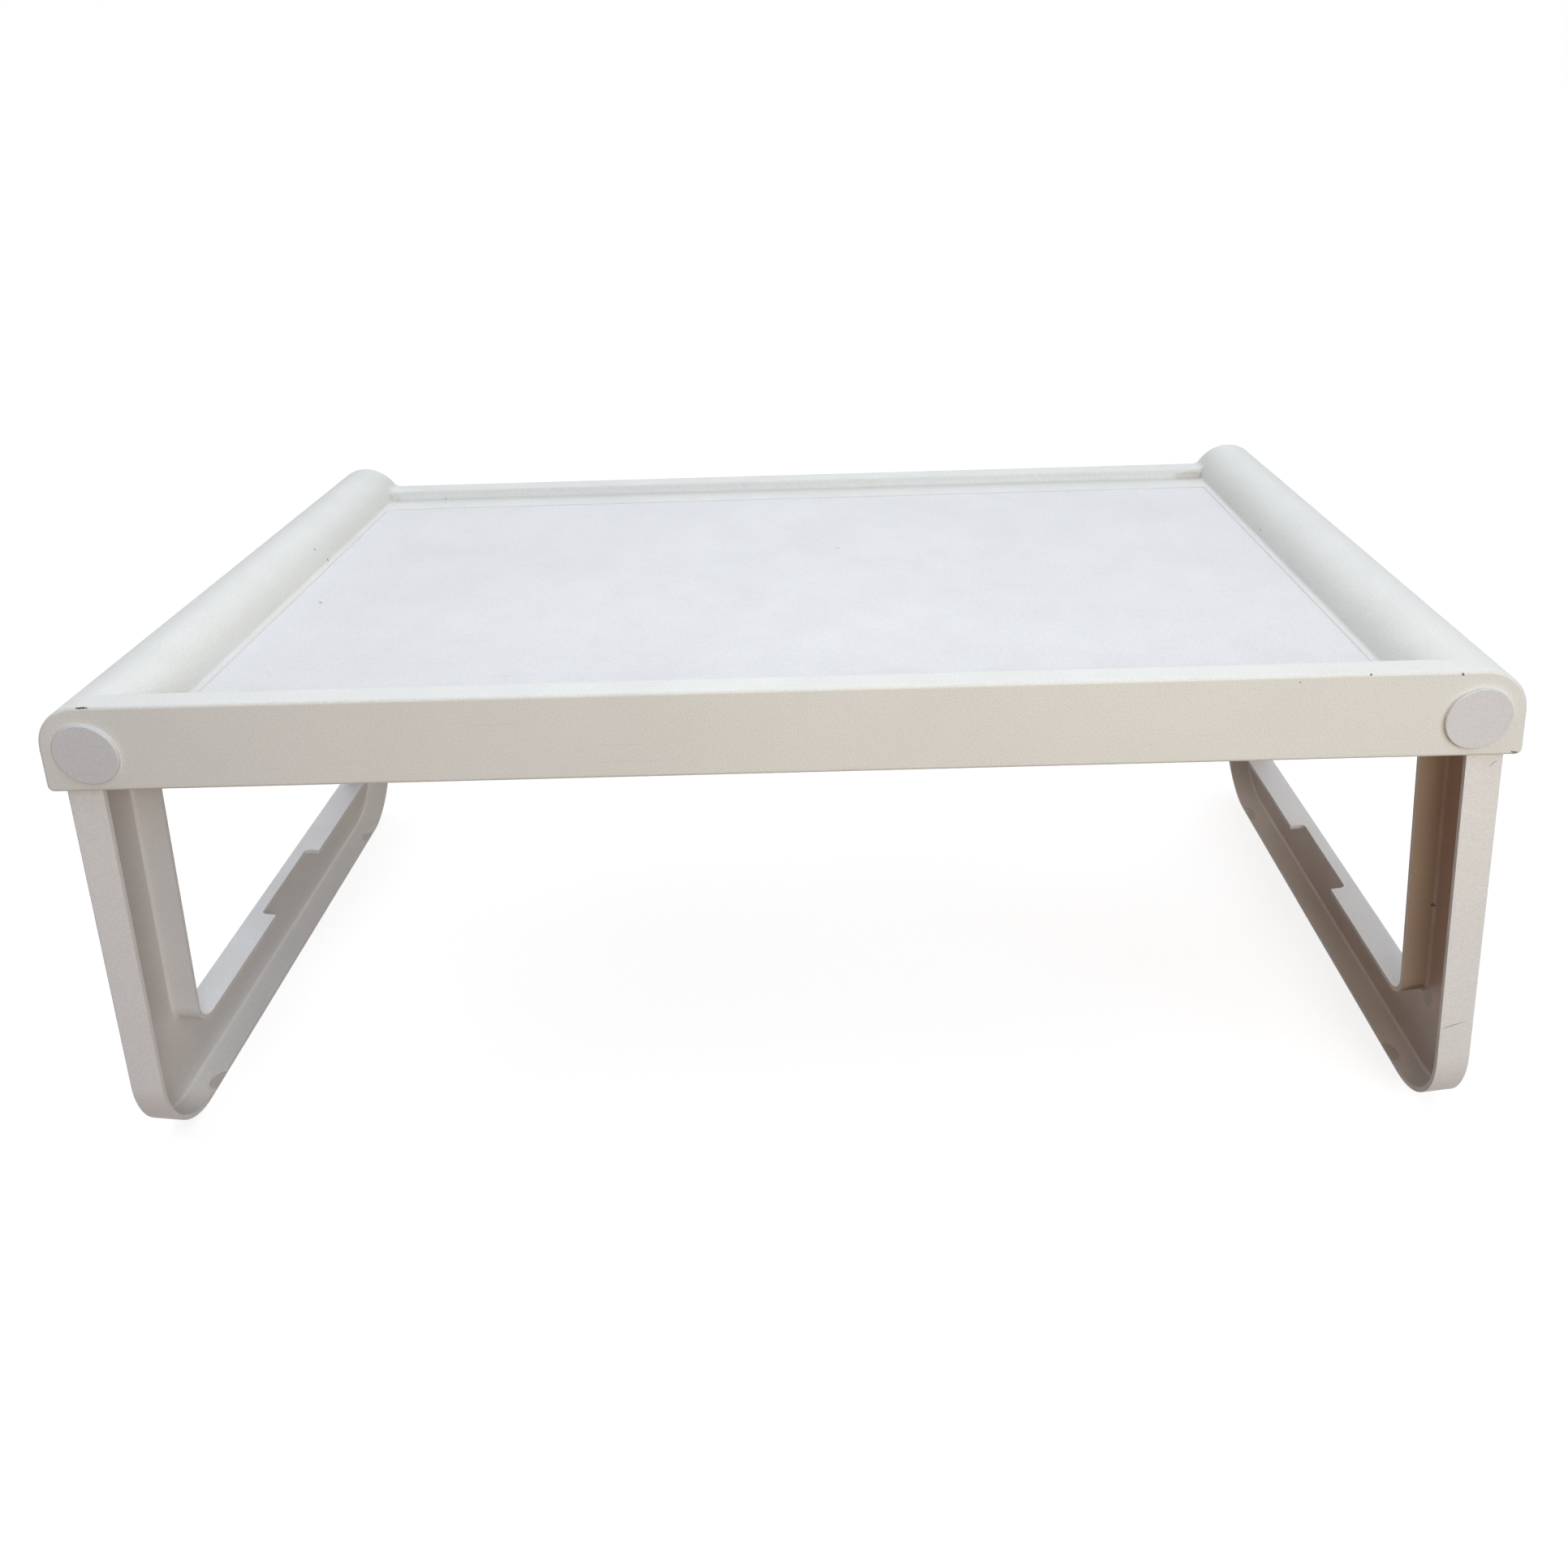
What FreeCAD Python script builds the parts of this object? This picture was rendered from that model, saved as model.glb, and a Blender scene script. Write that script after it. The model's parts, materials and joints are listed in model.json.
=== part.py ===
import FreeCAD, Part
import math
import os

from FreeCAD import Vector

# Folding tray table: a moulded tray on two U-shaped legs that fold flat under its floor.
# Millimetres. X runs along the tray, +Y to the rear, +Z up.
# The origin is on the ground, under the middle of the tray.

# ---------------------------------------------------------------- driving dimensions
TRAY_WIDTH = 590.0          # across the lower edges of the flared end walls
TRAY_DEPTH = 360.0          # front face to rear face
APRON_HEIGHT = 37.0         # lower edge of the apron to the top of the rolls
TRAY_WALL = 2.8             # aprons, end walls, rolls and rims
FLOOR_THICKNESS = 2.0
ROLL_RADIUS = 20.0          # half-round rolls along the two ends
FRONT_RIM_WIDTH = 13.0
REAR_RIM_WIDTH = 15.6
REAR_RIM_RISE = 5.0         # rear rim above the tray floor
REAR_RIM_ROUND = 1.0
OUTER_EDGE_ROUND = 1.5      # outer edges of the front and rear faces
LOWER_EDGE_ROUND = 2.5      # lower edges of the end walls
FOOT_ROUND = 2.0            # where the rolls and rims meet the floor
UNDER_ROUND = 1.0           # the same corner seen from below
RIM_TO_ROLL_ROUND = 5.0     # where the rear rim runs into the rolls
FIELD_MARGIN = 21.5         # plain border of the floor along the rims
FIELD_SIDE_MARGIN = 2.5     # the same along the rolls
FIELD_CORNER = 1.5
FIELD_RECESS = 0.3          # fine-textured field, set a little into the floor

LEG_SPLAY = 7.5             # degrees; the end walls flare by the same angle
LEG_LENGTH = 221.0          # pivot to sole, along the leg
LEG_MEMBER = 45.0           # width of the posts and of the bottom bar
LEG_WALL = 2.5
LEG_LIP = 1.2               # free edges of the flanges, inboard of the pivot
LEG_OUTER_CORNER = 42.0
LEG_INNER_CORNER = 12.0
LEG_EDGE_BREAK = 1.0        # outer edges of the web
LEG_ROOT_FILL = 1.2         # corner between web and flanges, inside the channel
EAR_ROOT_ROUND = 3.0        # where an ear runs into the free edge below it
BOSS_DIAMETER = 19.0        # thickening round the pivot hole of a leg
BOSS_HEIGHT = 1.5
NOTCH_LENGTH = 70.0         # finger notch in the upper flange of the bottom bar
NOTCH_DEPTH = 8.0
NOTCH_CORNER = 3.0
POCKET_LENGTH = 18.0        # thumbnail pockets at the free edge of the lower flange
POCKET_WIDTH = 4.5
POCKET_RECESS = 1.0
POCKET_INSET = 52.0         # middle of a pocket from the end of the leg

PIVOT_OUT = 1.0             # pivot outboard of the centre of the roll, at the same height
PIN_SHANK = 12.0
PIN_HEAD = 25.8
PIN_HEAD_HEIGHT = 1.7
PIN_HEAD_BREAK = 0.3        # outer edge of the head
PIN_SLOT = 2.4              # crossed slots that split the shank into four prongs
PIN_BARB_STEP = 0.8         # barb proud of the shank, per side
PIN_BARB_LENGTH = 4.5
PIN_TIP_TAPER = 0.7         # tip inside the shank, per side
PIN_SLOT_START = 3.6        # from the underside of the head

STOP_LENGTH = 14.0          # leg stops inside the end walls, along Y
STOP_INSET = 22.0           # middle of a stop from the end of the leg
STOP_RAISE = 1.0            # lower end of a stop above the edge of the end wall
STOP_TOP = 3.0              # upper end of a stop below the pivot
CATCH_LENGTH = 14.0         # catches under the floor that hold the folded legs
CATCH_THICKNESS = 2.0
CATCH_DROP = 6.0
NIB_LENGTH = 8.0
NIB_HEIGHT = 2.0
NIB_INSET = 1.2             # top of a nib below the free edge of the folded leg

# ---------------------------------------------------------------- clearances
PIN_TO_TRAY = 0.03          # radial
PIN_TO_LEG = 0.05           # radial
PIN_END_PLAY = 0.15
SIDE_GAP = 0.8              # apron to leg
EAR_TO_ROLL = 3.5           # pivot ear to the inside of the roll
FOLD_GAP = 0.4              # folded leg to the underside of the floor
STOP_GAP = 0.1              # open leg to its stops
CATCH_GAP = 0.5             # folded leg to its catches
NIB_GAP = 0.4               # nib to the bottom of its pocket

# ---------------------------------------------------------------- derived sizes and places
SPLAY = math.radians(LEG_SPLAY)
UP = math.pi / 2
EAR_RADIUS = ROLL_RADIUS - TRAY_WALL - EAR_TO_ROLL
WEB_FACE = EAR_RADIUS                                   # outer face of the web, outboard of the pivot
PIVOT_Z = LEG_LENGTH * math.cos(SPLAY) + LEG_LIP * math.sin(SPLAY)
ROLL_Z = PIVOT_Z
TOP_Z = ROLL_Z + ROLL_RADIUS
APRON_Z = TOP_Z - APRON_HEIGHT
ROLL_X = TRAY_WIDTH / 2 - (ROLL_Z - APRON_Z) * math.tan(SPLAY) - ROLL_RADIUS / math.cos(SPLAY)
PIVOT_X = ROLL_X + PIVOT_OUT
FLOOR_UNDER_Z = PIVOT_Z + LEG_LIP + FOLD_GAP
FLOOR_Z = FLOOR_UNDER_Z + FLOOR_THICKNESS
REAR_RIM_Z = FLOOR_Z + REAR_RIM_RISE
FRONT_Y = -TRAY_DEPTH / 2
REAR_Y = TRAY_DEPTH / 2
FRONT_RIM_Y = FRONT_Y + FRONT_RIM_WIDTH
REAR_RIM_Y = REAR_Y - REAR_RIM_WIDTH
LEG_END_Y = REAR_Y - TRAY_WALL - SIDE_GAP
BAR_TOP = LEG_LENGTH - LEG_MEMBER                       # pivot to the bottom bar, along the leg
BEARING = LEG_WALL + BOSS_HEIGHT                        # length of the pivot hole in a leg
PIN_REACH = TRAY_WALL + SIDE_GAP + BEARING + PIN_END_PLAY
CLEAR = 20.0                                            # how far cutting bodies stand off the part


# ---------------------------------------------------------------- helpers
def box(x0, x1, y0, y1, z0, z1):
    return Part.makeBox(x1 - x0, y1 - y0, z1 - z0, Vector(x0, y0, z0))


def cylinder(radius, start, along):
    return Part.makeCylinder(radius, along.Length, start, along)


def prism(edges, along):
    """Solid swept from a closed outline, given as edges in any order."""
    return Part.Face(Part.Wire(Part.__sortEdges__(edges))).extrude(along)


def arc(start, middle, end):
    return Part.Arc(start, middle, end).toShape()


def corner_arc(start, centre, end):
    """Arc between two points at the same distance from a centre."""
    out = ((start - centre) + (end - centre)).normalize()
    return arc(start, centre + out * (start - centre).Length, end)


def mirror_x(shape):
    return shape.mirror(Vector(), Vector(1, 0, 0))


def mirror_y(shape):
    return shape.mirror(Vector(), Vector(0, 1, 0))


def four_ways(shape):
    """The shape and its copies in the other three quarters of the tray."""
    right = [shape, mirror_y(shape)]
    return right + [mirror_x(one) for one in right]


def place_right(shape):
    """From the frame of the right leg, pivot at the origin and leg straight down, to the tray's frame."""
    shape.rotate(Vector(), Vector(0, 1, 0), -LEG_SPLAY)
    shape.translate(Vector(PIVOT_X, 0, PIVOT_Z))
    return shape


def edges_along(shape, chosen):
    """Edges of a shape whose every end and middle satisfies a test."""
    found = []
    for edge in shape.Edges:
        first, last = edge.ParameterRange
        points = [edge.valueAt(t) for t in (first, (first + last) / 2, last)]
        if all(chosen(point) for point in points):
            found.append(edge)
    return found


# ---------------------------------------------------------------- tray body
def on_roll(radius, angle, side):
    """Point on a circle about the centre of a roll; angle 0 is outboard and UP is its top."""
    return Vector(side * (ROLL_X + radius * math.cos(angle)), FRONT_Y, ROLL_Z + radius * math.sin(angle))


def tray_section(inset, low_z):
    """Section of the tray without its basin, inset all round: flared walls, rolls and a flat top."""
    radius = ROLL_RADIUS - inset
    low_x = TRAY_WIDTH / 2 - (low_z - APRON_Z) * math.tan(SPLAY) - inset / math.cos(SPLAY)
    edges = []
    for side in (1, -1):
        tangent = on_roll(radius, SPLAY, side)
        edges.append(Part.makeLine(Vector(side * low_x, FRONT_Y, low_z), tangent))
        edges.append(arc(tangent, on_roll(radius, (SPLAY + UP) / 2, side), on_roll(radius, UP, side)))
    edges.append(Part.makeLine(on_roll(radius, UP, 1), on_roll(radius, UP, -1)))
    edges.append(Part.makeLine(Vector(low_x, FRONT_Y, low_z), Vector(-low_x, FRONT_Y, low_z)))
    return edges


def between_rolls(radius, level, corner, start_y, end_y):
    """What lies above a level between two rolls of a radius, with rounded corners where they meet."""
    rise = level + corner - ROLL_Z
    reach = math.sqrt((radius + corner) ** 2 - rise ** 2)
    touch = math.atan2(rise, -reach)
    high = TOP_Z + CLEAR
    edges = []
    for side in (1, -1):
        centre = Vector(side * (ROLL_X - reach), FRONT_Y, level + corner)
        contact = on_roll(radius, touch, side)
        apex = on_roll(radius, UP, side)
        edges.append(corner_arc(centre - Vector(0, 0, corner), centre, contact))
        edges.append(arc(contact, on_roll(radius, (touch + UP) / 2, side), apex))
        edges.append(Part.makeLine(apex, Vector(apex.x, FRONT_Y, high)))
    for x, z in ((ROLL_X - reach, level), (ROLL_X, high)):
        edges.append(Part.makeLine(Vector(-x, FRONT_Y, z), Vector(x, FRONT_Y, z)))
    body = prism(edges, Vector(0, end_y - start_y, 0))
    body.translate(Vector(0, start_y - FRONT_Y, 0))
    return body


def above_floor_and_rims():
    """What lies above the front rim, the floor and the rear rim, with their rounded corners."""
    high = TOP_Z + CLEAR
    far = REAR_Y + CLEAR
    lip = FRONT_RIM_Y - OUTER_EDGE_ROUND
    lip_low = TOP_Z - OUTER_EDGE_ROUND
    foot = FLOOR_Z + FOOT_ROUND
    front_foot = FRONT_RIM_Y + FOOT_ROUND
    rear_foot = REAR_RIM_Y - FOOT_ROUND
    edge = REAR_RIM_Y + REAR_RIM_ROUND
    edge_low = REAR_RIM_Z - REAR_RIM_ROUND

    def at(y, z):
        return Vector(-TRAY_WIDTH / 2, y, z)

    edges = [
        Part.makeLine(at(lip, high), at(lip, TOP_Z)),
        corner_arc(at(lip, TOP_Z), at(lip, lip_low), at(FRONT_RIM_Y, lip_low)),
        Part.makeLine(at(FRONT_RIM_Y, lip_low), at(FRONT_RIM_Y, foot)),
        corner_arc(at(FRONT_RIM_Y, foot), at(front_foot, foot), at(front_foot, FLOOR_Z)),
        Part.makeLine(at(front_foot, FLOOR_Z), at(rear_foot, FLOOR_Z)),
        corner_arc(at(rear_foot, FLOOR_Z), at(rear_foot, foot), at(REAR_RIM_Y, foot)),
        Part.makeLine(at(REAR_RIM_Y, foot), at(REAR_RIM_Y, edge_low)),
        corner_arc(at(REAR_RIM_Y, edge_low), at(edge, edge_low), at(edge, REAR_RIM_Z)),
        Part.makeLine(at(edge, REAR_RIM_Z), at(far, REAR_RIM_Z)),
        Part.makeLine(at(far, REAR_RIM_Z), at(far, high)),
        Part.makeLine(at(far, high), at(lip, high)),
    ]
    return prism(edges, Vector(TRAY_WIDTH, 0, 0))


def outer_form():
    """The tray with its rolls, rims and floor, still solid underneath."""
    block = prism(tray_section(0.0, APRON_Z), Vector(0, TRAY_DEPTH, 0))
    block = block.makeFillet(LOWER_EDGE_ROUND, edges_along(
        block, lambda p: abs(p.z - APRON_Z) < 0.01 and abs(abs(p.x) - TRAY_WIDTH / 2) < 0.01))
    split = REAR_RIM_Y + REAR_RIM_ROUND
    over_floor = between_rolls(ROLL_RADIUS, FLOOR_Z, FOOT_ROUND, FRONT_Y - CLEAR, split)
    over_rear_rim = between_rolls(ROLL_RADIUS, REAR_RIM_Z, RIM_TO_ROLL_ROUND, split, REAR_Y + CLEAR)
    form = block.cut(above_floor_and_rims().common(over_floor.fuse(over_rear_rim)))
    for face_y in (FRONT_Y, REAR_Y):
        form = form.makeFillet(OUTER_EDGE_ROUND, edges_along(
            form, lambda p: abs(p.y - face_y) < 0.01 and p.z > APRON_Z + 0.01))
    return form


def underside():
    """The hollow under the floor, inside the rolls and inside both rims."""
    inner_length = TRAY_DEPTH - 2 * TRAY_WALL
    low = APRON_Z - CLEAR
    hollow = prism(tray_section(TRAY_WALL, low), Vector(0, inner_length, 0))
    hollow.translate(Vector(0, TRAY_WALL, 0))
    hollow = hollow.cut(between_rolls(ROLL_RADIUS - TRAY_WALL, FLOOR_UNDER_Z, UNDER_ROUND,
                                      FRONT_Y - CLEAR, REAR_Y + CLEAR))
    front_rim = box(-ROLL_X, ROLL_X, FRONT_Y + TRAY_WALL, FRONT_RIM_Y - TRAY_WALL, low, TOP_Z - TRAY_WALL)
    rear_rim = box(-ROLL_X, ROLL_X, REAR_RIM_Y + TRAY_WALL, REAR_Y - TRAY_WALL, low, REAR_RIM_Z - TRAY_WALL)
    return [hollow, front_rim, rear_rim]


def floor_field():
    """Shallow recess of the fine-textured field in the middle of the floor."""
    half_x = ROLL_X - ROLL_RADIUS - FIELD_SIDE_MARGIN
    field = box(-half_x, half_x, FRONT_RIM_Y + FIELD_MARGIN, REAR_RIM_Y - FIELD_MARGIN,
                FLOOR_Z - FIELD_RECESS, FLOOR_Z + CLEAR)
    return field.makeFillet(FIELD_CORNER, edges_along(field, lambda p: abs(abs(p.x) - half_x) < 0.01
                            and min(abs(p.y - y) for y in (FRONT_RIM_Y + FIELD_MARGIN,
                                                           REAR_RIM_Y - FIELD_MARGIN)) < 0.01))


def leg_stop():
    """Rib inside an end wall that the web of the open leg rests on; front right one."""
    wall_face = ROLL_RADIUS - PIVOT_OUT * math.cos(SPLAY) - TRAY_WALL
    middle = STOP_INSET - LEG_END_Y
    rib = place_right(box(WEB_FACE + STOP_GAP, wall_face + TRAY_WALL / 2,
                          middle - STOP_LENGTH / 2, middle + STOP_LENGTH / 2,
                          APRON_Z - PIVOT_Z - CLEAR, -STOP_TOP))
    return rib.cut(box(0, TRAY_WIDTH, FRONT_Y, REAR_Y, 0, APRON_Z + STOP_RAISE))


def leg_catch():
    """Rib under the floor whose nib sits in the pocket of the folded leg; front right one."""
    flange = PIVOT_X - LEG_LENGTH + LEG_WALL
    middle = POCKET_INSET - LEG_END_Y
    rib = box(flange + CATCH_GAP, flange + CATCH_GAP + CATCH_THICKNESS,
              middle - CATCH_LENGTH / 2, middle + CATCH_LENGTH / 2,
              FLOOR_UNDER_Z - CATCH_DROP, FLOOR_UNDER_Z + FLOOR_THICKNESS / 2)
    nib_top = PIVOT_Z + LEG_LIP - NIB_INSET
    nib = box(flange - POCKET_RECESS + NIB_GAP, flange + CATCH_GAP + CATCH_THICKNESS / 2,
              middle - NIB_LENGTH / 2, middle + NIB_LENGTH / 2, nib_top - NIB_HEIGHT, nib_top)
    return rib.fuse(nib)


def tray_body():
    tray = outer_form().cut(underside() + [floor_field()])
    tray = tray.fuse(four_ways(leg_stop()) + four_ways(leg_catch()))
    hole = cylinder(PIN_SHANK / 2 + PIN_TO_TRAY, Vector(PIVOT_X, FRONT_Y - CLEAR, PIVOT_Z),
                    Vector(0, CLEAR + TRAY_WALL + SIDE_GAP, 0))
    return tray.cut(four_ways(hole))


# ---------------------------------------------------------------- legs
def leg_outline(inset):
    """U of the leg seen from its open side, with both edges of the band moved in by the inset."""
    end = LEG_END_Y - inset
    sole = -LEG_LENGTH + inset
    outer = LEG_OUTER_CORNER - inset
    inner_y = LEG_END_Y - LEG_MEMBER + inset
    inner_z = -BAR_TOP - inset
    inner = LEG_INNER_CORNER + inset
    top = EAR_RADIUS + CLEAR

    def at(y, z):
        return Vector(-LEG_LIP, y, z)

    edges = [Part.makeLine(at(outer - end, sole), at(end - outer, sole)),
             Part.makeLine(at(inner - inner_y, inner_z), at(inner_y - inner, inner_z))]
    for side in (1, -1):
        edges += [
            corner_arc(at(side * (end - outer), sole), at(side * (end - outer), sole + outer),
                       at(side * end, sole + outer)),
            Part.makeLine(at(side * end, sole + outer), at(side * end, top)),
            Part.makeLine(at(side * end, top), at(side * inner_y, top)),
            Part.makeLine(at(side * inner_y, top), at(side * inner_y, inner_z + inner)),
            corner_arc(at(side * inner_y, inner_z + inner), at(side * (inner_y - inner), inner_z + inner),
                       at(side * (inner_y - inner), inner_z)),
        ]
    return edges


def below_knuckle(radius):
    """Everything below the pivot and inside a circle about it: rounds the tops of the posts."""
    length = 2 * LEG_END_Y
    low = box(-CLEAR, EAR_RADIUS, -LEG_END_Y, LEG_END_Y, -LEG_LENGTH - CLEAR, 0)
    return low.fuse(cylinder(radius, Vector(0, -LEG_END_Y, 0), Vector(0, length, 0)))


def pivot_ear():
    """Round ear of the front post about the pivot, run into the free edge of the flange, with its boss."""
    start = Vector(0, -LEG_END_Y, 0)
    along = Vector(0, LEG_WALL, 0)
    root_x = -LEG_LIP - EAR_ROOT_ROUND
    root_z = -math.sqrt((EAR_RADIUS + EAR_ROOT_ROUND) ** 2 - root_x ** 2)
    centre = start + Vector(root_x, 0, root_z)
    on_edge = centre + Vector(EAR_ROOT_ROUND, 0, 0)
    on_ear = start + (centre - start) * (EAR_RADIUS / (EAR_RADIUS + EAR_ROOT_ROUND))
    inside = start + Vector(-LEG_LIP, 0, 0)
    web = prism([corner_arc(on_edge, centre, on_ear), Part.makeLine(on_ear, inside),
                 Part.makeLine(inside, on_edge)], along)
    boss = cylinder(BOSS_DIAMETER / 2, start, Vector(0, BEARING, 0))
    return cylinder(EAR_RADIUS, start, along).fuse([web, boss])


def finger_notch():
    """Notch in the free edge of the upper flange of the bottom bar, with two rounded corners."""
    bottom = NOTCH_DEPTH - LEG_LIP
    half = NOTCH_LENGTH / 2
    cut = box(-LEG_LIP - CLEAR, bottom, -half, half, -BAR_TOP - 2 * LEG_WALL, -BAR_TOP + LEG_WALL)
    return cut.makeFillet(NOTCH_CORNER, edges_along(
        cut, lambda p: p.x > bottom - 0.01 and abs(abs(p.y) - half) < 0.01))


def pocket():
    """Thumbnail pocket in the channel side of the lower flange, open at its free edge; front one."""
    radius = POCKET_LENGTH ** 2 / (8 * POCKET_WIDTH) + POCKET_WIDTH / 2
    return cylinder(radius, Vector(POCKET_WIDTH - LEG_LIP - radius, POCKET_INSET - LEG_END_Y,
                                   LEG_WALL - POCKET_RECESS - LEG_LENGTH), Vector(0, 0, LEG_WALL))


def right_leg():
    band = prism(leg_outline(0.0), Vector(LEG_LIP + WEB_FACE, 0, 0)).common(below_knuckle(EAR_RADIUS))
    band = band.makeChamfer(LEG_EDGE_BREAK, edges_along(
        band, lambda p: abs(p.x - WEB_FACE) < 0.01 and p.z < -0.01))
    inside = WEB_FACE - LEG_WALL
    channel = prism(leg_outline(LEG_WALL), Vector(LEG_LIP + inside, 0, 0))
    channel = channel.makeChamfer(LEG_ROOT_FILL, edges_along(channel, lambda p: abs(p.x - inside) < 0.01))
    hollow = channel.common(below_knuckle(EAR_RADIUS - LEG_WALL))
    leg = band.cut([hollow, finger_notch(), pocket(), mirror_y(pocket())])
    ear = pivot_ear()
    leg = leg.fuse([ear, mirror_y(ear)])
    hole = cylinder(PIN_SHANK / 2 + PIN_TO_LEG, Vector(0, -LEG_END_Y - CLEAR, 0),
                    Vector(0, 2 * (LEG_END_Y + CLEAR), 0))
    return place_right(leg.cut(hole))


# ---------------------------------------------------------------- pivot pins
def pivot_pin():
    """Front right pin: flat round head outside the apron, and a barbed shank split into four prongs."""
    along = Vector(0, 1, 0)
    start = Vector(PIVOT_X, FRONT_Y, PIVOT_Z)
    head = cylinder(PIN_HEAD / 2, start - along * PIN_HEAD_HEIGHT, along * PIN_HEAD_HEIGHT)
    head = head.makeChamfer(PIN_HEAD_BREAK, edges_along(
        head, lambda p: abs(p.y - FRONT_Y + PIN_HEAD_HEIGHT) < 0.01))
    shank = cylinder(PIN_SHANK / 2, start, along * PIN_REACH)
    barb = Part.makeCone(PIN_SHANK / 2 + PIN_BARB_STEP, PIN_SHANK / 2 - PIN_TIP_TAPER, PIN_BARB_LENGTH,
                         start + along * PIN_REACH, along)
    end = FRONT_Y + PIN_REACH + PIN_BARB_LENGTH
    slot_y = FRONT_Y + PIN_SLOT_START
    half = PIN_SLOT / 2
    reach = PIN_SHANK
    slots = [box(PIVOT_X - reach, PIVOT_X + reach, slot_y, end, PIVOT_Z - half, PIVOT_Z + half),
             box(PIVOT_X - half, PIVOT_X + half, slot_y, end, PIVOT_Z - reach, PIVOT_Z + reach)]
    return head.fuse([shank, barb]).cut(slots)


# ---------------------------------------------------------------- writing
def write(name, shape):
    shape = shape.removeSplitter()
    print(name, len(shape.Solids), "solid", shape.isValid(), round(shape.Volume / 1000, 2), "cm3")
    shape.exportStep("parts/" + name + ".step")


def main():
    os.makedirs("parts", exist_ok=True)
    write("tray_body", tray_body())
    leg = right_leg()
    write("right_leg", leg)
    write("left_leg", mirror_x(leg))
    names = ("front_right_pivot_pin", "rear_right_pivot_pin", "front_left_pivot_pin", "rear_left_pivot_pin")
    for name, pin in zip(names, four_ways(pivot_pin())):
        write(name, pin)


main()
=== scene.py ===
import json
import math

import bpy
from mathutils import Matrix, Vector


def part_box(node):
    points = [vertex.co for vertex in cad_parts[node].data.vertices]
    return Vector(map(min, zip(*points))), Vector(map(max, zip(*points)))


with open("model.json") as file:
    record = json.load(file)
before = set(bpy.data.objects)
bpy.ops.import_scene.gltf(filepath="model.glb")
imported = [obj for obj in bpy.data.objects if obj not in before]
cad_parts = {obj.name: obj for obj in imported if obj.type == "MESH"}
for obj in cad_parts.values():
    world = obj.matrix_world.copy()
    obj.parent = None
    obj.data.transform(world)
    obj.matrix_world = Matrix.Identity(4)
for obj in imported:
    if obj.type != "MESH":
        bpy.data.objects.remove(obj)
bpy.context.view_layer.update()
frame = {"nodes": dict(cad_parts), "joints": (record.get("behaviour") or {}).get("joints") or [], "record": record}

MM = 0.001

# ---------------------------------------------------------------- places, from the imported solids
TRAY_LOW, TRAY_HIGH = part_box("tray_body")
LEG_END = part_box("right_leg")[1].y
JOINT = {j["name"]: j for j in frame["joints"]}
PIVOT = Vector(JOINT["right_leg_fold"]["pos_m"])
MOUNT = {m["name"]: Vector(m["pos_m"]) for m in frame["record"]["mounts"]}

# The recessed field of the tray floor, by its margins inside the tray's box.
FIELD_SIDE = 41.5 * MM
FIELD_FRONT = 34.5 * MM
FIELD_REAR = 37.1 * MM
FIELD_LOW = Vector((TRAY_LOW.x + FIELD_SIDE, TRAY_LOW.y + FIELD_FRONT))
FIELD_HIGH = Vector((TRAY_HIGH.x - FIELD_SIDE, TRAY_HIGH.y - FIELD_REAR))
FIELD_Z = MOUNT["tray_floor"].z

# A leg, as in the CAD. Its depth is counted outboard of the pivot, square to the leg's length,
# and its height along the leg's length, up from the pivot.
LEG_SPLAY = math.radians(7.5)
LEG_LIP = 1.2 * MM              # free edges of the flanges, inboard of the pivot
LEG_WEB = 11.2 * MM             # channel side of the web, outboard of the pivot
LEG_WALL = 2.5 * MM
LEG_MEMBER = 45.0 * MM          # width of the posts and of the floor bar
LEG_OUTER_CORNER = 42.0 * MM
LEG_INNER_CORNER = 12.0 * MM
LEG_SOLE = (LEG_LIP * math.sin(LEG_SPLAY) - PIVOT.z) / math.cos(LEG_SPLAY)

# ---------------------------------------------------------------- finish
# Colours, linear.
TRAY_WHITE = (0.79, 0.785, 0.735)
FIELD_WHITE = (0.780, 0.770, 0.755)
LEG_WHITE = (0.85, 0.84, 0.81)
# Painted shade on the faces inside the legs' channels, darker and browner in the right leg.
LEFT_CHANNEL_SHADE = (0.71, 0.69, 0.665)
RIGHT_CHANNEL_SHADE = (0.73, 0.62, 0.53)
PIN_GREY = (0.70, 0.70, 0.70)
SCUFF = (0.035, 0.032, 0.03)
# Painted shade, where the rear rim meets the rolls and low in the floor bar's channel next to each post.
BROWN_SHADE = (0.30, 0.25, 0.16)
DARK_RED_BROWN = (0.16, 0.05, 0.025)
SHADE = (0.22, 0.13, 0.08)

# Moulded plastic. A scale is a number of noise cells to the metre, a span is the part of the noise's
# range that shows, and a shade multiplies the colour.
TRAY_ROUGHNESS = 0.50
LEG_ROUGHNESS = 0.45
PIN_ROUGHNESS = 0.50
ROUGH_SCALE = 60.0
ROUGH_SPAN = (0.30, 0.70)
SMOOTHER, ROUGHER = 0.04, 0.05  # how far the roughness wanders down and up
PLASTIC_IOR = 1.49
SPECULAR_LEVEL = 0.40
CLOUD_SCALE = 14.0
CLOUD_SPAN = (0.35, 0.65)
CLOUD_SHADE = 0.975
GRAIN_SCALE = 1300.0
GRAIN_SPAN = (0.34, 0.66)
GRAIN_DARK, GRAIN_LIGHT = 0.94, 1.035
GRAIN_BUMP = 0.35
GRAIN_DEPTH = 0.06 * MM
RUB_TURN = (0.5, 0.35, 0.8)     # radians
RUB_SCALE = (30.0, 900.0, 900.0)
RUB_SPAN = (0.72, 0.79)
RUB_SHADE = 0.94
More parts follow.
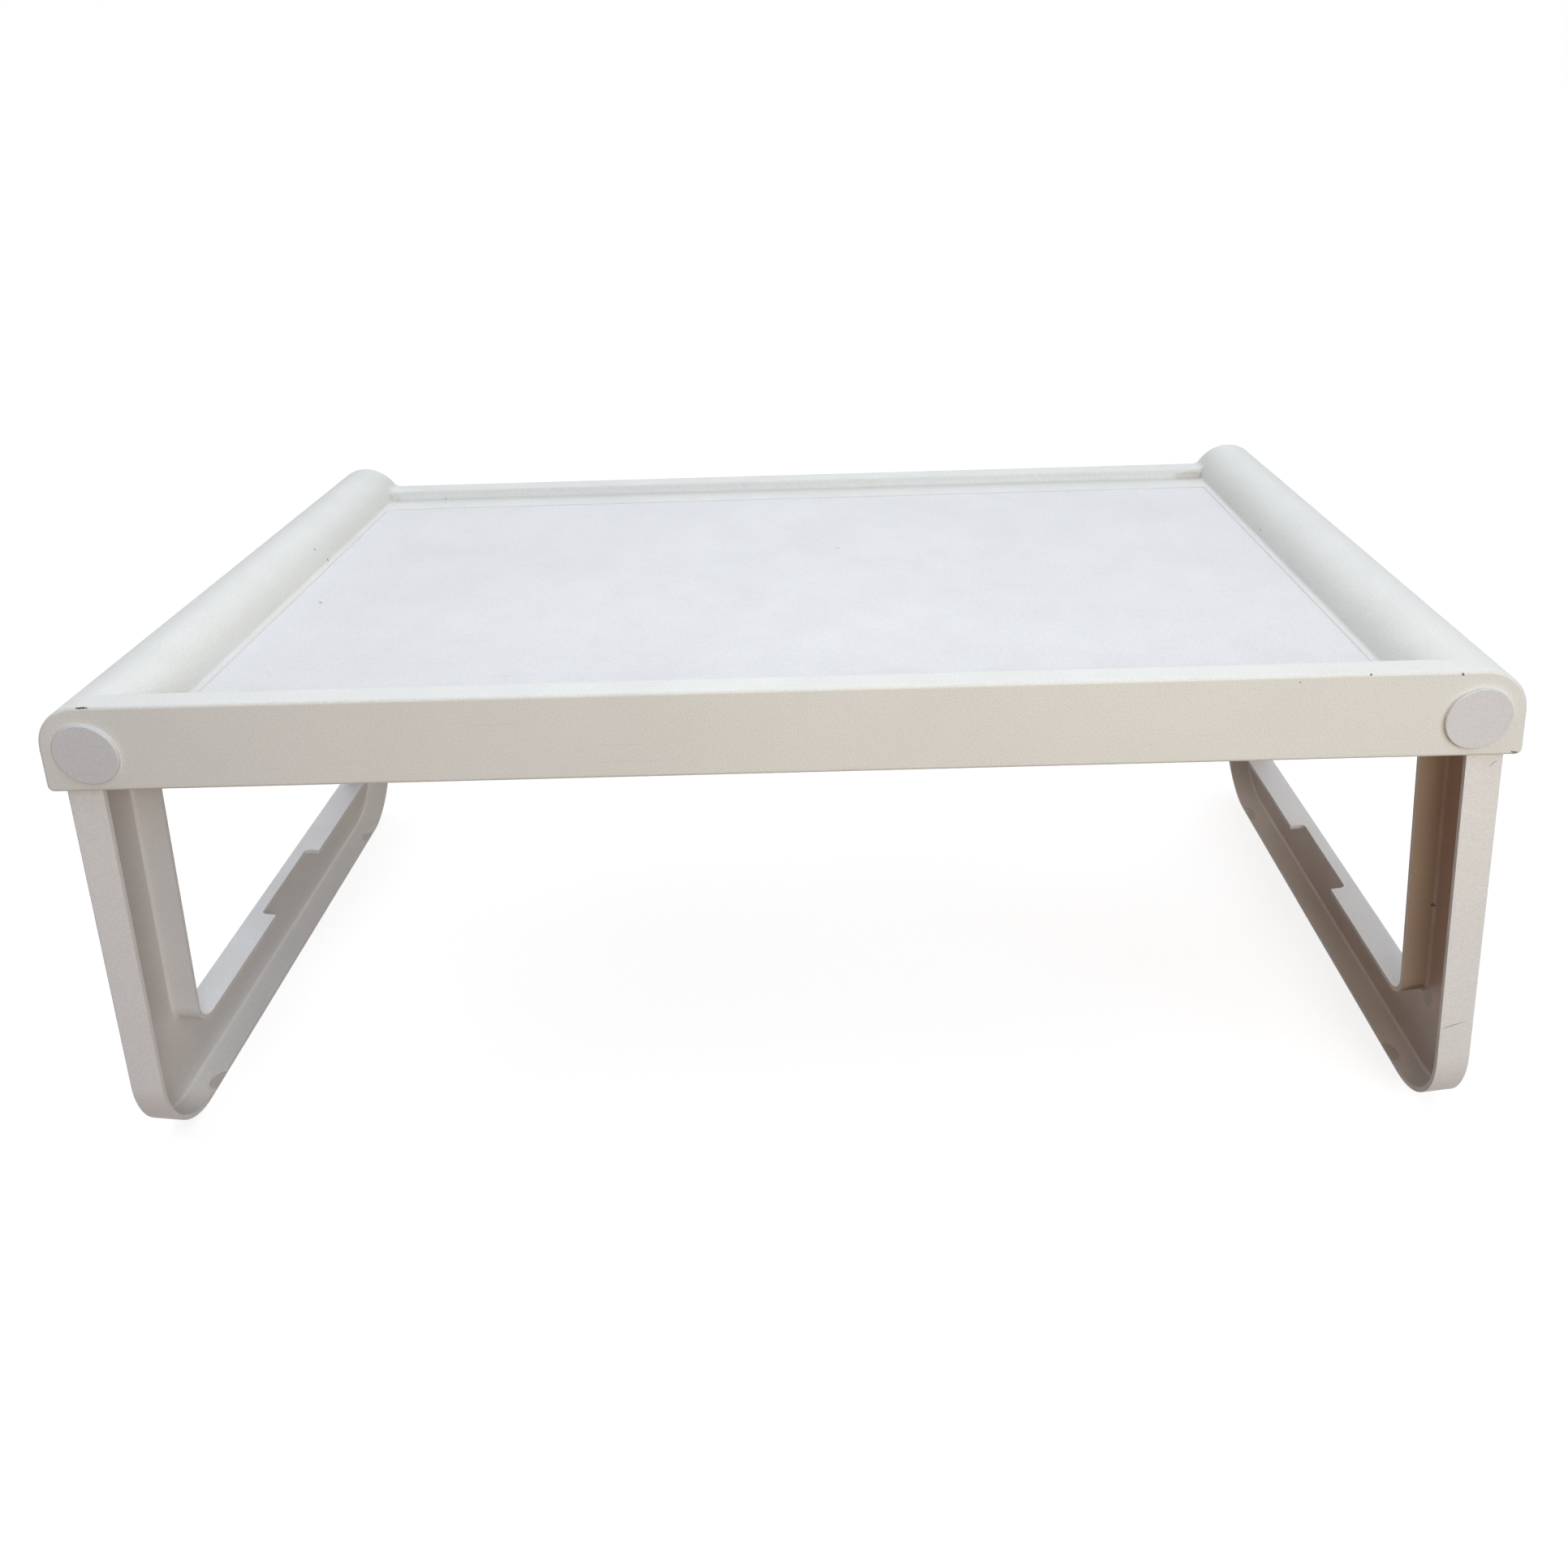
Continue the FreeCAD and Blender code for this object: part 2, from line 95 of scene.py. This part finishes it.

# Edges of the marks, of the field's tint and of the painted shade inside the legs' channels.
MARK_CORE = 0.75                # share of a mark's half size at its full strength
WOBBLE_SCALE = 900.0
WOBBLE = 1.1 * MM
FIELD_EDGE = 0.3 * MM
FIELD_REACH = 0.4 * MM          # above and below the field
CHANNEL_SHADE_EDGE = 0.2 * MM
CORNER_EDGE = 0.1 * MM
POST_RISE = 30.0 * MM           # above the floor bar, where a post has its full painted shade
RIGHT_BAR_SHARE = 0.55          # of the posts' painted shade, in the floor bar
LEFT_BAR_SHARE = 0.20

# ---------------------------------------------------------------- camera, floor and lamps, in metres
CAMERA_PLACE = Vector((0.02462, -0.62946, 0.43931))
CAMERA_PITCH = 29.29            # degrees down
CAMERA_YAW = 0.80               # degrees to the left
CAMERA_ROLL = -1.84             # degrees
CAMERA_SENSOR = 36.0            # mm
CAMERA_LENS = 29.20             # mm
CAMERA_SHIFT = (-0.0273, 0.0140)
CAMERA_NEAR = 0.01

WHITE = (1.0, 1.0, 1.0, 1.0)
FLOOR_HALF = 40.0
FLOOR_BOUNCE = (0.20, 0.09, 0.045)  # what the floor throws onto the object
FLOOR_PAPER = 0.45                  # how much of the lamps' light shows on it
FLOOR_GLOW = 0.78
SKY_LIGHT = (0.070, 0.030, 0.022)
HORIZON_LIGHT = (0.0, 0.0, 0.0)
SKY_START, SKY_FULL = 0.12, 0.55    # heights, 0 at the horizon and 1 overhead

# Suns: name, azimuth and elevation in degrees, spread in degrees, strength and colour.
SUNS = [
    ("back", 0.0, 45.0, 60.0, 1.36, (0.900, 0.955, 1.0)),
    ("front_right", 150.0, 28.0, 40.0, 0.98, (0.600, 0.735, 0.98)),
    ("right", 85.0, 16.0, 40.0, 0.20, (1.0, 0.95, 0.76)),
    ("high_left", 270.0, 62.0, 40.0, 0.46, (0.50, 0.72, 1.0)),
    ("high_right", 90.0, 50.0, 60.0, 0.20, (1.0, 0.96, 0.90)),
    ("left", 285.0, 35.0, 50.0, 0.27, (1.0, 0.95, 0.93)),
]
# Soft boxes: name, place, aim, size, power and colour.
BOXES = [
    ("front", (0.23, -0.90, 0.42), (0.07, 0.0, 0.20), 0.45, 3.20, (1.0, 0.92, 0.73)),
    ("near_right", (0.75, -0.75, 0.35), (0.10, -0.10, 0.15), 0.40, 0.32, (0.22, 0.60, 1.0)),
    ("over_front", (0.05, -0.38, 0.90), (0.0, -0.10, 0.20), 0.60, 1.70, (0.90, 0.96, 1.0)),
]


# ---------------------------------------------------------------- shader nodes
def socket_of(tree, value, socket):
    """Links a node's output to the socket, or sets the socket to a plain value."""
    if isinstance(value, bpy.types.NodeSocket):
        tree.links.new(value, socket)
    else:
        socket.default_value = value


def add(tree, kind, values=(), out=0, **settings):
    """A node with its inputs filled, by name or by place, and its chosen output."""
    node = tree.nodes.new(kind)
    for key, value in settings.items():
        setattr(node, key, value)
    pairs = values.items() if isinstance(values, dict) else enumerate(values)
    for key, value in pairs:
        socket_of(tree, value, node.inputs[key])
    return node.outputs[out]


def maths(tree, operation, *values):
    return add(tree, "ShaderNodeMath", values, operation=operation)


def blend_colour(tree, factor, first, second):
    """First colour where the factor is 0 and second where it is 1."""
    node = tree.nodes.new("ShaderNodeMix")
    node.data_type = "RGBA"
    for name, value in (("Factor_Float", factor), ("A_Color", first), ("B_Color", second)):
        socket = next(s for s in node.inputs if s.identifier == name)
        if isinstance(value, tuple) and len(value) == 3:
            value = value + (1.0,)
        socket_of(tree, value, socket)
    return next(s for s in node.outputs if s.identifier == "Result_Color")


def noise(tree, coords, scale, detail=2.0, roughness=0.5):
    return add(tree, "ShaderNodeTexNoise", {"Vector": coords, "Scale": scale, "Detail": detail,
                                            "Roughness": roughness})


def ramp(tree, value, low, high, to_low=0.0, to_high=1.0):
    """The value mapped smoothly from one range to another."""
    return add(tree, "ShaderNodeMapRange", {"Value": value, "From Min": low, "From Max": high,
                                            "To Min": to_low, "To Max": to_high},
               interpolation_type="SMOOTHSTEP")


def between(tree, value, low, high, soft):
    """1 while the value lies between two limits, with soft ends outside them."""
    above = ramp(tree, value, low - soft, low)
    below = ramp(tree, value, high, high + soft, 1.0, 0.0)
    return maths(tree, "MULTIPLY", above, below)


def split(tree, coords):
    """The three coordinates of a point."""
    node = tree.nodes.new("ShaderNodeSeparateXYZ")
    tree.links.new(coords, node.inputs[0])
    return node.outputs["X"], node.outputs["Y"], node.outputs["Z"]


# ---------------------------------------------------------------- tinted areas
def field_area(tree, coords):
    """1 on the recessed field of the tray floor."""
    x, y, z = split(tree, coords)
    inside = maths(tree, "MULTIPLY", between(tree, x, FIELD_LOW.x, FIELD_HIGH.x, FIELD_EDGE),
                   between(tree, y, FIELD_LOW.y, FIELD_HIGH.y, FIELD_EDGE))
    level = between(tree, z, FIELD_Z - FIELD_REACH, FIELD_Z + FIELD_REACH, FIELD_REACH / 2)
    return maths(tree, "MULTIPLY", inside, level)


def beyond(tree, across, across_centre, height, height_centre):
    """Distance past the centre of a rounded corner of a leg, outwards and downwards."""
    out = maths(tree, "MAXIMUM", maths(tree, "SUBTRACT", across, across_centre), 0.0)
    down = maths(tree, "MAXIMUM", maths(tree, "SUBTRACT", height_centre, height), 0.0)
    return maths(tree, "SQRT", maths(tree, "ADD", maths(tree, "MULTIPLY", out, out),
                                     maths(tree, "MULTIPLY", down, down)))


def channel_shade_area(side, bar_share):
    """Builds the mask of the painted shade on the faces inside a leg's channel: 1 in the posts and less in the
    floor bar.
    The side is 1 for the right leg and -1 for the left."""
    def area(tree, coords):
        x, y, z = split(tree, coords)
        out = maths(tree, "SUBTRACT", maths(tree, "MULTIPLY", x, float(side)), PIVOT.x)
        up = maths(tree, "SUBTRACT", z, PIVOT.z)
        depth = maths(tree, "ADD", maths(tree, "MULTIPLY", out, math.cos(LEG_SPLAY)),
                      maths(tree, "MULTIPLY", up, math.sin(LEG_SPLAY)))
        height = maths(tree, "SUBTRACT", maths(tree, "MULTIPLY", up, math.cos(LEG_SPLAY)),
                       maths(tree, "MULTIPLY", out, math.sin(LEG_SPLAY)))
        across = maths(tree, "ABSOLUTE", y)
        deep = between(tree, depth, CHANNEL_SHADE_EDGE - LEG_LIP, CHANNEL_SHADE_EDGE + LEG_WEB, CHANNEL_SHADE_EDGE)
        outer = beyond(tree, across, LEG_END - LEG_OUTER_CORNER, height, LEG_SOLE + LEG_OUTER_CORNER)
        inner = beyond(tree, across, LEG_END - LEG_MEMBER - LEG_INNER_CORNER,
                       height, LEG_SOLE + LEG_MEMBER + LEG_INNER_CORNER)
        # The painted shade ends in the middle of each flange's wall.
        outer_end = LEG_OUTER_CORNER - LEG_WALL / 2
        inner_end = LEG_INNER_CORNER + LEG_WALL / 2
        within = ramp(tree, outer, outer_end, outer_end + CORNER_EDGE, 1.0, 0.0)
        outside = ramp(tree, inner, inner_end - CORNER_EDGE, inner_end)
        bar_top = LEG_SOLE + LEG_MEMBER
        share = ramp(tree, height, bar_top - LEG_MEMBER / 2, bar_top + POST_RISE, bar_share, 1.0)
        return maths(tree, "MULTIPLY", maths(tree, "MULTIPLY", deep, share),
                     maths(tree, "MULTIPLY", within, outside))
    return area


# ---------------------------------------------------------------- plastic
def rubbed(tree, coords):
    """1 on clean plastic, a little less along sparse hairline rubs."""
    turned = add(tree, "ShaderNodeMapping", {"Vector": coords, "Rotation": RUB_TURN, "Scale": RUB_SCALE})
    lines = noise(tree, turned, 1.0, detail=1.0, roughness=0.4)
    return ramp(tree, lines, *RUB_SPAN, 1.0, RUB_SHADE)


def wobbled(tree, coords):
    """The coordinates shaken by noise, so that marks get uneven edges."""
    colour = add(tree, "ShaderNodeTexNoise", {"Vector": coords, "Scale": WOBBLE_SCALE}, out="Color")
    shake = add(tree, "ShaderNodeVectorMath", {0: colour, "Scale": WOBBLE}, operation="SCALE")
    return add(tree, "ShaderNodeVectorMath", {0: coords, 1: shake}, operation="ADD")


def spot(tree, coords, place, radii, turn):
    """1 inside an ellipsoid at a place and 0 outside it, with a soft edge."""
    moved = add(tree, "ShaderNodeMapping", {"Vector": coords, "Location": place, "Rotation": turn,
                                            "Scale": radii}, vector_type="TEXTURE")
    distance = add(tree, "ShaderNodeVectorMath", {0: moved}, out="Value", operation="LENGTH")
    return ramp(tree, distance, MARK_CORE, 1.0, 1.0, 0.0)


def marked(tree, coords, base, marks):
    """The base colour with each mark blended over it."""
    shaken = wobbled(tree, coords)
    mean_shake = Vector((WOBBLE, WOBBLE, WOBBLE)) / 2
    for place, radii, turn, strength, tint in marks:
        centre = Vector(place) * MM + mean_shake
        amount = maths(tree, "MULTIPLY", spot(tree, shaken, centre, Vector(radii) * MM, turn), strength)
        base = blend_colour(tree, amount, base, tint)
    return base


def plastic(name, colour, roughness, marks=(), area=None, area_colour=None):
    """Moulded plastic: its colour, any tinted area (on the legs, painted shade inside the channel), faint clouds,
    fine grain, rubs and any marks.
    """
    material = bpy.data.materials.new(name)
    material.use_nodes = True
    tree = material.node_tree
    shader = tree.nodes["Principled BSDF"]
    coords = add(tree, "ShaderNodeTexCoord", out="Object")
    base = blend_colour(tree, area(tree, coords), colour, area_colour) if area else colour
    broad = noise(tree, coords, CLOUD_SCALE, detail=3.0, roughness=0.6)
    clouds = ramp(tree, broad, *CLOUD_SPAN, CLOUD_SHADE, 1.0)
    fine = noise(tree, coords, GRAIN_SCALE, roughness=0.6)
    grain = ramp(tree, fine, *GRAIN_SPAN, GRAIN_DARK, GRAIN_LIGHT)
    shade = maths(tree, "MULTIPLY", maths(tree, "MULTIPLY", clouds, grain), rubbed(tree, coords))
    base = add(tree, "ShaderNodeVectorMath", {0: base, "Scale": shade}, operation="SCALE")
    socket_of(tree, marked(tree, coords, base, marks), shader.inputs["Base Color"])
    patches = noise(tree, coords, ROUGH_SCALE, detail=3.0)
    rough = ramp(tree, patches, *ROUGH_SPAN, roughness - SMOOTHER, roughness + ROUGHER)
    socket_of(tree, rough, shader.inputs["Roughness"])
    shader.inputs["IOR"].default_value = PLASTIC_IOR
    shader.inputs["Specular IOR Level"].default_value = SPECULAR_LEVEL
    bump = add(tree, "ShaderNodeBump", {"Strength": GRAIN_BUMP, "Distance": GRAIN_DEPTH, "Height": fine})
    socket_of(tree, bump, shader.inputs["Normal"])
    return material


# Marks: place and half sizes in mm, turn in radians, strength and colour.
APRON = TRAY_LOW.y / MM         # outer face of the front apron
FLANGE = -LEG_END / MM          # outer face of a leg's front flange
STRAIGHT = (0, 0, 0)
SPECK = (0.8, 0.8, 0.8)
TRAY_MARKS = [
    ((-269.9, APRON, 239.1), (3.4, 1.0, 0.6), STRAIGHT, 1.0, SCUFF),
    ((228.8, APRON, 238.8), (0.6, 1.0, 0.6), STRAIGHT, 0.8, SCUFF),
    ((263.9, APRON, 237.9), (0.6, 1.0, 0.6), STRAIGHT, 0.9, SCUFF),
    ((201.9, APRON, 236.3), (0.4, 1.0, 0.4), STRAIGHT, 0.7, SCUFF),
    ((291.2, APRON, 203.7), (1.5, 1.0, 0.4), (0, 0.15, 0), 0.9, SCUFF),
    ((-235.2, -20.8, 222.6), (0.9, 2.4, 1.0), (0, 0, 0.5), 0.35, SCUFF),
    ((25.6, 43.8, 222.6), (0.5, 2.2, 1.0), (0, 0, 0.9), 0.4, SCUFF),
    ((-256.9, 38.4, 231.6), SPECK, STRAIGHT, 0.6, SCUFF),
    ((-253.1, 43.2, 224.0), SPECK, STRAIGHT, 0.8, SCUFF),
    ((254.1, 41.8, 226.7), SPECK, STRAIGHT, 0.6, SCUFF),
    ((-219.9, 162.9, 222.9), SPECK, STRAIGHT, 0.5, SCUFF),
    ((275.0, -24.2, 239.1), (0.6, 0.8, 0.8), STRAIGHT, 0.3, SCUFF),
    ((272.3, APRON, 218.6), (13.7, 1.0, 13.7), STRAIGHT, 0.50, SHADE),
    ((-274.1, APRON, 218.8), (13.1, 1.0, 13.1), STRAIGHT, 0.35, SHADE),
    # Painted shade where the rear rim meets the rolls.
    ((246.0, 162.0, 224.5), (13.0, 4.0, 3.0), STRAIGHT, 0.22, BROWN_SHADE),
    ((-252.0, 162.0, 224.5), (6.0, 4.0, 3.0), STRAIGHT, 0.16, BROWN_SHADE),
]
RIGHT_LEG_MARKS = [
    ((298.9, FLANGE, 63.3), (5.6, 1.0, 0.35), (0, -0.40, 0), 0.45, SCUFF),
    ((286.1, FLANGE, 197.0), (2.2, 1.0, 0.3), (0, -0.85, 0), 0.40, SCUFF),
    # A dark red-brown patch low in the right leg's channel, near its front post.
    ((303.0, -134.0, 46.0), (9.0, 7.0, 8.0), STRAIGHT, 0.45, DARK_RED_BROWN),
    ((299.6, -134.2, 100.2), (1.2, 1.2, 0.8), STRAIGHT, 0.7, SCUFF),
    # Painted shade low in the floor bar's channel, next to each post.
    ((302.5, -121.6, 1.7), (5.0, 8.0, 1.6), STRAIGHT, 0.35, BROWN_SHADE),
    ((302.5, 121.6, 1.7), (5.0, 8.0, 1.6), STRAIGHT, 0.25, BROWN_SHADE),
]
LEFT_LEG_MARKS = [
    # Painted shade low in the floor bar's channel, next to each post.
    ((-302.1, -122.9, 1.7), (5.0, 8.0, 1.6), STRAIGHT, 0.40, BROWN_SHADE),
    ((-302.1, 122.9, 1.7), (5.0, 8.0, 1.6), STRAIGHT, 0.25, BROWN_SHADE),
    ((-314.0, FLANGE, 12.0), (0.8, 1.0, 0.6), STRAIGHT, 0.5, SCUFF),
]


def dress():
    """Gives each CAD node its plastic; the four pins share theirs."""
    plastics = {
        "tray_body": plastic("tray_plastic", TRAY_WHITE, TRAY_ROUGHNESS, TRAY_MARKS,
                             field_area, FIELD_WHITE),
        "right_leg": plastic("right_leg_plastic", LEG_WHITE, LEG_ROUGHNESS, RIGHT_LEG_MARKS,
                             channel_shade_area(1, RIGHT_BAR_SHARE), RIGHT_CHANNEL_SHADE),
        "left_leg": plastic("left_leg_plastic", LEG_WHITE, LEG_ROUGHNESS, LEFT_LEG_MARKS,
                            channel_shade_area(-1, LEFT_BAR_SHARE), LEFT_CHANNEL_SHADE),
    }
    pin_plastic = plastic("pin_plastic", PIN_GREY, PIN_ROUGHNESS)
    for name, node in frame["nodes"].items():
        node.data.materials.clear()
        node.data.materials.append(plastics.get(name, pin_plastic))


# ---------------------------------------------------------------- studio
def seen_rays(tree):
    """1 for the rays that see the background: from the camera, and through gloss or glass."""
    path = tree.nodes.new("ShaderNodeLightPath")
    seen = maths(tree, "MAXIMUM", path.outputs["Is Camera Ray"], path.outputs["Is Glossy Ray"])
    return maths(tree, "MAXIMUM", seen, path.outputs["Is Transmission Ray"])


def pale_floor():
    """White paper with the object's shadow where it is seen, and a dim warm bounce elsewhere."""
    corners = [(-FLOOR_HALF, -FLOOR_HALF, 0), (FLOOR_HALF, -FLOOR_HALF, 0),
               (FLOOR_HALF, FLOOR_HALF, 0), (-FLOOR_HALF, FLOOR_HALF, 0)]
    mesh = bpy.data.meshes.new("floor")
    mesh.from_pydata(corners, [], [(0, 1, 2, 3)])
    floor = bpy.data.objects.new("floor", mesh)
    bpy.context.scene.collection.objects.link(floor)
    material = bpy.data.materials.new("floor")
    material.use_nodes = True
    tree = material.node_tree
    tree.nodes.clear()
    seen = seen_rays(tree)
    bounce = add(tree, "ShaderNodeBsdfDiffuse", {"Color": FLOOR_BOUNCE + (1,)})
    paper = add(tree, "ShaderNodeBsdfDiffuse", {"Color": (FLOOR_PAPER, FLOOR_PAPER, FLOOR_PAPER, 1)})
    glow = add(tree, "ShaderNodeEmission", {"Color": WHITE, "Strength": FLOOR_GLOW})
    white = add(tree, "ShaderNodeAddShader", [paper, glow])
    mix = add(tree, "ShaderNodeMixShader", [seen, bounce, white])
    output = tree.nodes.new("ShaderNodeOutputMaterial")
    tree.links.new(mix, output.inputs["Surface"])
    mesh.materials.append(material)


def studio_world():
    """A dim warm light overhead that fades out towards the horizon, and plain white where it is seen."""
    world = bpy.data.worlds.new("studio")
    bpy.context.scene.world = world
    world.use_nodes = True
    tree = world.node_tree
    tree.nodes.clear()
    seen = seen_rays(tree)
    direction = add(tree, "ShaderNodeTexCoord", out="Generated")
    height = add(tree, "ShaderNodeSeparateXYZ", [direction], out="Z")
    lift = ramp(tree, height, SKY_START, SKY_FULL)
    colour = blend_colour(tree, lift, HORIZON_LIGHT, SKY_LIGHT)
    soft = add(tree, "ShaderNodeBackground", {"Color": colour, "Strength": 1.0})
    white = add(tree, "ShaderNodeBackground", {"Color": WHITE, "Strength": 1.0})
    mix = add(tree, "ShaderNodeMixShader", [seen, soft, white])
    output = tree.nodes.new("ShaderNodeOutputWorld")
    tree.links.new(mix, output.inputs["Surface"])


def sun(name, azimuth, elevation, spread, strength, colour):
    """A soft lamp far away; azimuth is counted from +Y towards +X, in degrees."""
    light = bpy.data.lights.new(name, "SUN")
    light.angle = math.radians(spread)
    light.energy = strength
    light.color = colour
    holder = bpy.data.objects.new(name, light)
    bpy.context.scene.collection.objects.link(holder)
    az, el = math.radians(azimuth), math.radians(elevation)
    towards = Vector((math.sin(az) * math.cos(el), math.cos(az) * math.cos(el), math.sin(el)))
    holder.matrix_world = towards.to_track_quat("Z", "Y").to_matrix().to_4x4()


def soft_box(name, place, aim, size, power, colour):
    """A square lamp at a place, turned to its aim."""
    light = bpy.data.lights.new(name, "AREA")
    light.size = size
    light.energy = power
    light.color = colour
    holder = bpy.data.objects.new(name, light)
    bpy.context.scene.collection.objects.link(holder)
    away = Vector(place) - Vector(aim)
    holder.matrix_world = Matrix.Translation(place) @ away.to_track_quat("Z", "Y").to_matrix().to_4x4()


def studio():
    pale_floor()
    studio_world()
    for lamp in SUNS:
        sun(*lamp)
    for lamp in BOXES:
        soft_box(*lamp)


def camera():
    data = bpy.data.cameras.new("camera")
    data.sensor_width = CAMERA_SENSOR
    data.lens = CAMERA_LENS
    data.shift_x, data.shift_y = CAMERA_SHIFT
    data.clip_start = CAMERA_NEAR
    holder = bpy.data.objects.new("camera", data)
    bpy.context.scene.collection.objects.link(holder)
    turn = (Matrix.Rotation(math.radians(CAMERA_YAW), 4, "Z")
            @ Matrix.Rotation(math.radians(90.0 - CAMERA_PITCH), 4, "X")
            @ Matrix.Rotation(math.radians(CAMERA_ROLL), 4, "Z"))
    holder.matrix_world = Matrix.Translation(CAMERA_PLACE) @ turn
    bpy.context.scene.camera = holder


dress()
studio()
camera()
bpy.context.scene.view_settings.view_transform = "Standard"
